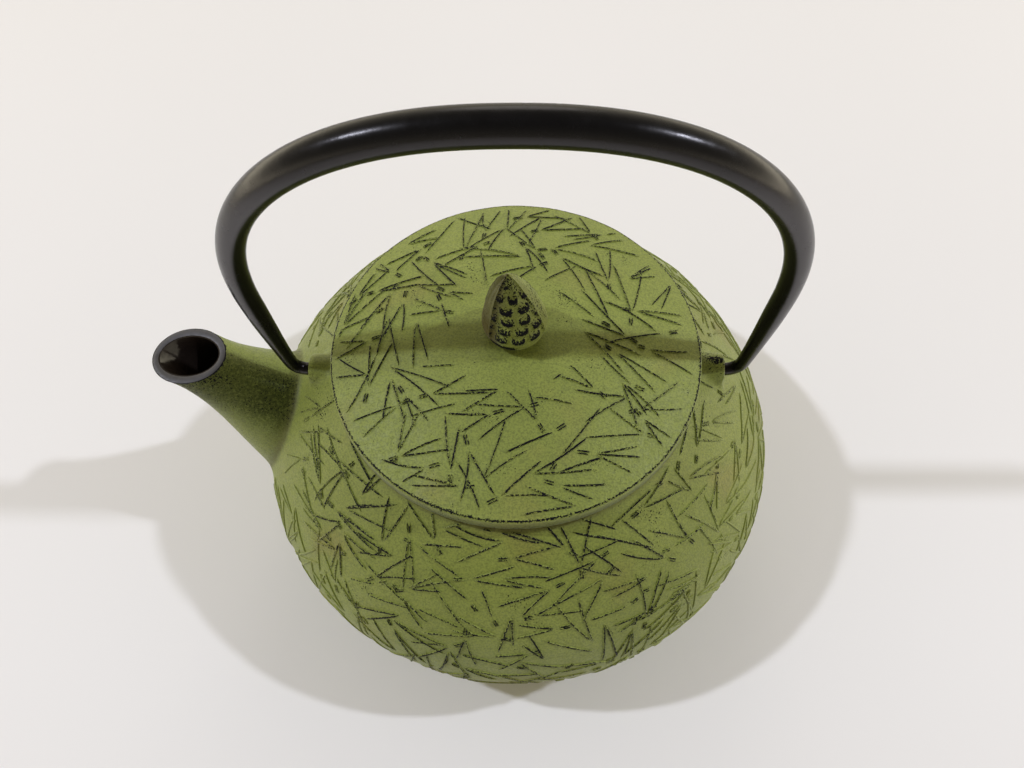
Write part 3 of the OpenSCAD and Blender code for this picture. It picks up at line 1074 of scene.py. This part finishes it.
def on_lid(p):
    """Where needles may lie on the lid: off its edge and the smooth disc round the knob."""
    return (from_axis(p) < LID_R - 1.7) & (from_axis(p) > SMOOTH_R)


def lid_ink(p):
    return 0.92 + 0.08 * ripple(p, 30, 2)


def lay_lid_needles():
    rng = np.random.default_rng(17)
    spots = np.column_stack([rng.uniform(-LID_R, LID_R, (6000, 2)), np.full(6000, LID_TOP)])
    spots = settle(lid_field, spots[on_lid(spots)])
    centres = spread(spots, 6.3, 150, rng)
    needles = needle_bunches(lid_field, centres, 1.0, 0.88, lid_ink, on_lid, rng)
    add_needles("pine_needles_lid", needles, "lid")


make_lid()
lay_lid_needles()


# ---------------------------------------------------------------- knob

KNOB_Z, KNOB_H = knob_low[2], knob_high[2] - knob_low[2]
KNOB_R, KNOB_BELLY, KNOB_FOOT, TIP_N = knob_high[0], 5.8, 4.6, 1.35
KNOB_BORE_R, KNOB_BORE_DEPTH = 1.51, 8.02
LEAN = -1.3  # the tip stands this far towards the spout
SCALE_ROWS, FIRST_ROW, ROW_PITCH, SCALE_W = 5, 6.8, 2.9, 4.5
FACE_TURN = math.radians(-82)  # the middle of the scaly front
DENT, SWELL, HOLLOW, SIDE_RIDGE = 0.35, 0.62, 0.8, 0.25


def knob_outline():
    """Radius and height of the plain knob, from its foot to its tip."""
    top_h = KNOB_H - KNOB_BELLY
    low_h = KNOB_BELLY / math.sqrt(1 - (KNOB_FOOT / KNOB_R) ** 2)
    below = [
        (KNOB_R * math.sqrt(1 - ((KNOB_BELLY - z) / low_h) ** 2), z)
        for z in np.linspace(0, KNOB_BELLY, 40, endpoint=False)
    ]
    above = [
        (KNOB_R * math.cos(a) ** (2 / TIP_N), KNOB_BELLY + top_h * math.sin(a) ** (2 / TIP_N))
        for a in np.linspace(0, math.pi / 2, 96)[:-1]
    ]
    return np.array(below + above)


def knob_scales(line, z, a):
    """How far the scales stand out at heights and angles, 0 to 1, and how high on a crest."""
    swell, crest = np.zeros_like(z), np.zeros_like(z)
    for row in range(SCALE_ROWS):
        row_z = FIRST_ROW + ROW_PITCH * row
        row_r = np.interp(row_z, line[:, 1], line[:, 0])
        pitch = 2 * math.pi / max(7, round(2 * math.pi * row_r / SCALE_W))
        from_middle = 2 * np.abs((a / pitch + 0.5 * (row % 2)) % 1 - 0.5)
        above_lip = z - row_z - 1.1 * from_middle**2
        lip = peak(above_lip, 0, 0.85) * smooth_step(1 - from_middle, 0.1, 0.5)
        lip_crest = peak(above_lip, -0.1, 1.15) * smooth_step(1 - from_middle, 0.10, 0.42)
        swell, crest = np.maximum(swell, lip), np.maximum(crest, lip_crest)
    return swell, crest


def knob_shape(line, r, z, a):
    """Moves the plain knob's points out over the pine cone's scales, with their crest values.

    The front and back have scales, and the two flanks are smooth and a little hollow.
    """
    facing = np.abs(np.cos(a - FACE_TURN))
    below_tip = smooth_step(z, KNOB_H - 0.5, KNOB_H - 1.7)
    scaly = smooth_step(facing, 0.52, 0.60) * below_tip
    swell, crest = knob_scales(line, z, a)
    side_ridge = peak(facing, 0.54, 0.035) * smooth_step(z, 4, 8) * below_tip
    hollow = (0.65 - 0.35 * np.cos(a)) * smooth_step(facing, 0.55, 0.2)
    hollow *= smooth_step(z, 8, 13) * below_tip
    r = r - DENT * scaly * smooth_step(z, 3, 5) + SWELL * swell * scaly
    return r + SIDE_RIDGE * side_ridge - HOLLOW * hollow, crest * scaly


def make_knob():
    """The pine cone, with its bore for the rivet."""
    line = knob_outline()
    r, a = np.meshgrid(line[:, 0], circle(176), indexing="ij")
    z, _ = np.meshgrid(line[:, 1], circle(176), indexing="ij")
    r, crest = knob_shape(line, r, z, a)
    x = r * np.cos(a) + LEAN * smooth_step(z, 4, KNOB_H)
    shape = tube(np.stack([x, r * np.sin(a), KNOB_Z + z], -1))
    piece = add_piece("pine_cone_knob", *shape, PAINT, "knob", "painted_iron")
    face_out(piece)
    mark_knob(piece, z, a, crest)
    low_z, high_z = KNOB_Z - 1, KNOB_Z + KNOB_BORE_DEPTH
    bore = [(0, low_z), (KNOB_BORE_R, low_z), (KNOB_BORE_R, high_z), (0, high_z)]
    combine(piece, tool(revolve(bore, 48)))
    soften(piece, 60)
    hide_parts("lid_knob")


def mark_knob(piece, z, a, crest):
    """Ink on the scales and at the tip, a painted shadow at the foot, and painted shade on the
    spout's side.
    """
    # painted shade on the flank that faces the spout: browner, darker and with less reflection
    flank = smooth_step(-np.cos(a), 0.35, 0.7) * (0.6 + 0.4 * smooth_step(z, 13, 7))
    # painted shadow: a black crescent at the foot on the front left, where the gap under the knob
    # lies in shade
    at_foot = smooth_step(z, 4.8, 4.0) * smooth_step(np.cos(a - math.radians(-135)), 0.50, 0.78)
    at_tip = smooth_step(z, 18, 21) * smooth_step(np.cos(a - math.radians(-100)), 0.2, 0.6)
    crest = np.maximum.reduce([crest, at_foot, 0.5 * at_tip]).reshape(-1)
    mark(piece, "tan", 0.9 * flank.reshape(-1))
    mark(piece, "painted_shade", flank.reshape(-1))
    mark(piece, "crest", crest)
    mark(piece, "ink", np.ones(crest.size))
    mark(piece, "specks_and_shade", np.where(crest > 0.05, 0.5, 0.2))


make_knob()


# ---------------------------------------------------------------- handle

GRIP_W, GRIP_TOP, GRIP_MID = 63.5, 157.0, 107.2
ARCH_N = 2.28
BEND_X, BEND_R, BEND_A = LUG_FACE + 0.3, 4.5, math.radians(70)
PEG_LEN = 4.8
END_ROUND = 0.35


def bend_at(a):
    """A point of the bend above the peg, as (x, z)."""
    return (BEND_X + BEND_R * math.sin(a), PIVOT_Z + BEND_R * (1 - math.cos(a)))


def handle_line():
    """The handle's middle line in (x, z) from one peg over the top to the other."""
    bend = [bend_at(a) for a in np.linspace(0, BEND_A, 16, endpoint=False)]
    bend_end = np.array(bend_at(BEND_A))
    heading = np.array([math.cos(BEND_A), math.sin(BEND_A)])
    limb = [bend_end, bend_end + 2 * heading, [GRIP_W + 0.2, 103], [GRIP_W, GRIP_MID]]
    power, arch_h = 2 / ARCH_N, GRIP_TOP - GRIP_MID
    arch = [
        (GRIP_W * math.cos(a) ** power, GRIP_MID + arch_h * math.sin(a) ** power)
        for a in np.linspace(0, math.pi / 2, 70)[:-1]
    ]
    half = np.concatenate(
        [bend, bezier(limb, np.linspace(0, 1, 40, endpoint=False)), arch, [(0.0, GRIP_TOP)]]
    )
    return np.concatenate([half, half[-2::-1] * (-1, 1)])


def handle_rings(line):
    """Sections round the handle's line, thin at the pegs and thick at the top."""
    z = line[:, 1]
    radius = 1.75 + 0.85 * smooth_step(z, PIVOT_Z, PIVOT_Z + 30)
    radius += 1.3 * smooth_step(z, 90, GRIP_TOP)
    depth = radius * (1 + 0.07 * smooth_step(z, PIVOT_Z + 4, PIVOT_Z + 29))
    run = unit(np.gradient(line, axis=0))
    run[0] = run[-1] = (1, 0)
    out, across = np.cos(circle(56)), np.sin(circle(56))
    rings = [
        np.stack([x + r * out * run_z, d * across, z - r * out * run_x], 1)
        for (x, z), (run_x, run_z), r, d in zip(line, run, radius, depth)
    ]
    # round off the two ends beside the lugs
    for end, side in ((0, 1), (-1, -1)):
        middle = rings[end].mean(0)
        small = middle + (rings[end] - middle) * 0.8
        rings[end] = rings[end] + (side * END_ROUND, 0, 0)
        rings.insert(0 if end == 0 else len(rings), small)
    return np.array(rings)


def make_handle():
    """The arched bar and the two pegs that it swings on."""
    pegs = [
        cylinder_x(PEG_R, side * (BEND_X - PEG_LEN), side * (BEND_X + 0.5), PIVOT_Z, 48)
        for side in (-1, 1)
    ]
    shape = joined(tube(handle_rings(handle_line())), *pegs)
    piece = add_piece("bail_handle", *shape, LACQUER, "bail", "black_lacquer")
    face_out(piece)
    soften(piece, 50)
    mark_handle(piece)
    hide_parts("handle")


def mark_handle(piece):
    """Painted reflection: the outer faces of the limbs glossier, their inner faces and the top less
    so.
    """
    x = points_of(piece)[:, 0]
    normals = np.array([vertex.normal for vertex in piece.data.vertices])
    painted_reflection = smooth_step(normals[:, 0] * np.sign(x), -0.45, -0.05)
    painted_reflection *= 1 - 0.75 * smooth_step(normals[:, 2], 0.2, 0.7)
    painted_reflection *= 0.5 + 0.5 * smooth_step(np.abs(x), 38, 56)
    mark(piece, "painted_reflection", painted_reflection)


make_handle()


# ---------------------------------------------------------------- strainer

MESH_R = box_mm("strainer_mesh_wall")[1][0]
SHEET_T, MESH_T = 0.5, 0.4
RIM_R, RIM_T = rim_high[0], 0.8
RIM_Z = rim_high[2] - RIM_T
FLOOR_UP = band_low[2]
MESH_FLOOR_Z = FLOOR_UP + SHEET_T
BAND_LAP = 3.0  # how far the band reaches in under the mesh floor
PITCH, WIRE_R, WEAVE = 1.55, 0.115, 0.085
WEAVE_R = MESH_R - MESH_T / 2


def collar_outline():
    """The flat rim and its short skirt, pressed from one sheet."""
    outer_r = MESH_R + SHEET_T
    return [
        (MESH_R, rim_low[2]), (outer_r, rim_low[2]), (outer_r, RIM_Z - 0.4),
        (outer_r + 0.12, RIM_Z - 0.1), (outer_r + 0.4, RIM_Z), (RIM_R - 0.3, RIM_Z),
        (RIM_R, RIM_Z + 0.3), (RIM_R, RIM_Z + 0.55), (RIM_R - 0.25, RIM_Z + RIM_T),
        (MESH_R + 0.7, RIM_Z + RIM_T), (MESH_R + 0.2, RIM_Z + 0.6), (MESH_R, RIM_Z + 0.1),
    ]


def foot_band_outline():
    """The band round the bottom edge, which holds the mesh wall and the mesh floor."""
    outer_r, top_z = band_high[0], band_high[2]
    return [
        (outer_r - SHEET_T - BAND_LAP, FLOOR_UP), (outer_r - 0.4, FLOOR_UP),
        (outer_r - 0.1, FLOOR_UP + 0.15), (outer_r, FLOOR_UP + 0.5), (outer_r, top_z),
        (MESH_R, top_z), (MESH_R, MESH_FLOOR_Z), (MESH_R - BAND_LAP, MESH_FLOOR_Z),
    ]


def make_sheet_piece(name, outline, node):
    """A piece of stainless sheet, round like its outline, in place of a CAD node."""
    piece = add_piece(name, *revolve(outline), SHEET, "strainer", "stainless_sheet")
    face_out(piece)
    soften(piece)
    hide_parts(node)


def wires(lines, up):
    """Thin round wires along lines [wire, point, axis]; up is the lines' own normal."""
    side = unit(np.cross(up, unit(np.gradient(lines, axis=1))))
    rings = [
        lines + WIRE_R * (math.cos(a) * side + math.sin(a) * up) for a in math.pi / 4 + circle(4)
    ]
    return many_tubes(np.stack(rings, 2))


def over_under(numbers):
    """1 and -1 by turns."""
    return np.where(np.asarray(numbers) % 2 == 0, 1, -1)


def wall_wires(angles, heights, weave):
    """Wires on the wall's cylinder, woven in and out by weave, all as arrays [wire, point]."""
    r = WEAVE_R + WEAVE * weave
    x, y = np.cos(angles), np.sin(angles)
    return wires(np.stack([r * x, r * y, heights], -1), np.stack([x, y, 0 * angles], -1))


def make_mesh_wall():
    """Upright wires woven with hoops, which cross them at every other level."""
    top_z = RIM_Z + 0.1
    posts = int(2 * math.pi * WEAVE_R / PITCH / 2) * 2
    hoops = int((top_z - MESH_FLOOR_Z) / PITCH)
    levels = np.linspace(MESH_FLOOR_Z, top_z, hoops * 2 + 1)
    bends = np.zeros(len(levels))
    bends[1::2] = over_under(np.arange(hoops))

    angles, heights = np.meshgrid(circle(posts), levels, indexing="ij")
    uprights = wall_wires(angles, heights, bends * over_under(np.arange(posts))[:, None])
    hoop_angles = 2 * math.pi * np.arange(posts + 1) / posts
    angles, heights = np.meshgrid(hoop_angles, levels[1::2])
    hoop_bends = -over_under(np.arange(hoops))[:, None] * over_under(np.arange(posts + 1))
    shape = joined(uprights, wall_wires(angles, heights, hoop_bends))
    piece = add_piece("strainer_wire_wall", *shape, WIRE, "strainer", "stainless_mesh")
    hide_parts("strainer_mesh_wall")


def make_mesh_floor():
    """Straight wires across the round floor, woven over and under each other."""
    count = int(WEAVE_R / PITCH)
    grid = np.arange(-count, count + 1) * PITCH
    laid = []
    for number, offset in enumerate(grid):
        reach = math.sqrt(max(WEAVE_R**2 - offset**2, 1.0))
        crossings = grid[np.abs(grid) <= reach]
        if len(crossings) < 2:
            continue
        for direction in (0, 1):
            along = np.array([-reach, *crossings, reach])
            bends = over_under(np.round(crossings / PITCH) + number + direction)
            heights = MESH_FLOOR_Z + MESH_T / 2 + WEAVE * np.array([0, *bends, 0])
            across = np.full(len(along), offset)
            x, y = (along, across) if direction == 0 else (across, along)
            line = np.stack([x, y, heights], -1)[None]
            laid.append(wires(line, np.broadcast_to([0.0, 0.0, 1.0], line.shape)))
    shape = joined(*laid)
    piece = add_piece("strainer_wire_floor", *shape, WIRE, "strainer", "stainless_mesh")
    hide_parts("strainer_mesh_floor")


make_sheet_piece("strainer_collar", collar_outline(), "strainer_rim")
make_sheet_piece("strainer_foot_band", foot_band_outline(), "strainer_base_band")
make_mesh_wall()
make_mesh_floor()

for name in ("knob_rivet", "knob_washer"):
    node = frame["nodes"][name]
    node.data.materials.clear()
    node.data.materials.append(SHEET)


# ---------------------------------------------------------------- stage, light and camera


def floor_material():
    """Pale floor with faint large clouds of tone."""
    material = bpy.data.materials.new("pale_floor")
    m = Nodes(material)
    m.set(Base_Color=m.mix(m.noise(260, 2), (0.802, 0.780, 0.770), (0.827, 0.805, 0.800)))
    m.set(Roughness=0.55)
    return material


def make_floor():
    """A wide flat disc, large enough to reach past the view."""
    disc = revolve([(0, 0), (2500, 0), (2500, -20), (0, -20)], 64)
    floor = add_piece("floor", *disc, floor_material(), None, None)
    face_out(floor)


def soft_sky():
    """Warm room light, strongest low down on both sides, and weaker towards the front."""
    world = bpy.data.worlds.new("soft_sky")
    sky = Nodes(world, "Background", "Generated")
    x, y, z = sky.node("ShaderNodeSeparateXYZ", Vector=sky.place).outputs
    low_light = sky.math("MULTIPLY", sky.math("MULTIPLY", x, x), sky.range(z, 0, 0.40, 3, 0))
    glow = sky.math("ADD", low_light, sky.range(z, 0.3, 0.98, 0.66, 0.16))
    to_back = sky.math("ADD", 1.0, sky.math("MULTIPLY", y, 0.6))
    sky.set(Color=(1.0, 0.91, 0.70), Strength=sky.math("MULTIPLY", glow, to_back))
    return world


def lamp(name, place_mm, size_mm, watts, colour):
    """A round area lamp that points at the pot."""
    data = bpy.data.lights.new(name, "AREA")
    data.shape, data.size = "DISK", size_mm * MM
    data.energy, data.color = watts, colour
    made = bpy.data.objects.new(name, data)
    bpy.context.scene.collection.objects.link(made)
    made.location = Vector(place_mm) * MM
    to_pot = Vector((0, 0, 40)) * MM - made.location
    made.rotation_euler = to_pot.to_track_quat("-Z", "Y").to_euler()


def add_camera(place_mm, lens, down, yaw, roll):
    """The camera at the photo's viewing angle: how far it looks down, its yaw and its roll."""
    data = bpy.data.cameras.new("camera")
    data.sensor_width, data.lens = 36, lens
    camera = bpy.data.objects.new("camera", data)
    bpy.context.scene.collection.objects.link(camera)
    bpy.context.scene.camera = camera
    level = math.cos(down)
    forward = Vector((math.sin(yaw) * level, math.cos(yaw) * level, -math.sin(down)))
    right = Vector((math.cos(yaw), -math.sin(yaw), 0))
    up = right.cross(forward)
    rolled_right = right * math.cos(roll) + up * math.sin(roll)
    rolled_up = -right * math.sin(roll) + up * math.cos(roll)
    facing = Matrix((rolled_right, rolled_up, -forward)).transposed().to_4x4()
    camera.matrix_world = Matrix.Translation(Vector(place_mm) * MM) @ facing


make_floor()
bpy.context.scene.world = soft_sky()
lamp("lamp_left", (-882, 18, 1230), 60, 8.2, (0.94, 0.985, 1.12))
lamp("lamp_right", (1023, 80, 1230), 60, 8.8, (0.94, 0.985, 1.12))
lamp("lamp_back", (0, 1400, 1000), 700, 2.0, (1.0, 0.97, 0.94))
add_camera(
    place_mm=(3.07, -113.8, 264.9), lens=29.18,
    down=math.radians(60.72), yaw=math.radians(-2.14), roll=math.radians(-1.80),
)
bpy.context.scene.view_settings.view_transform = "Standard"
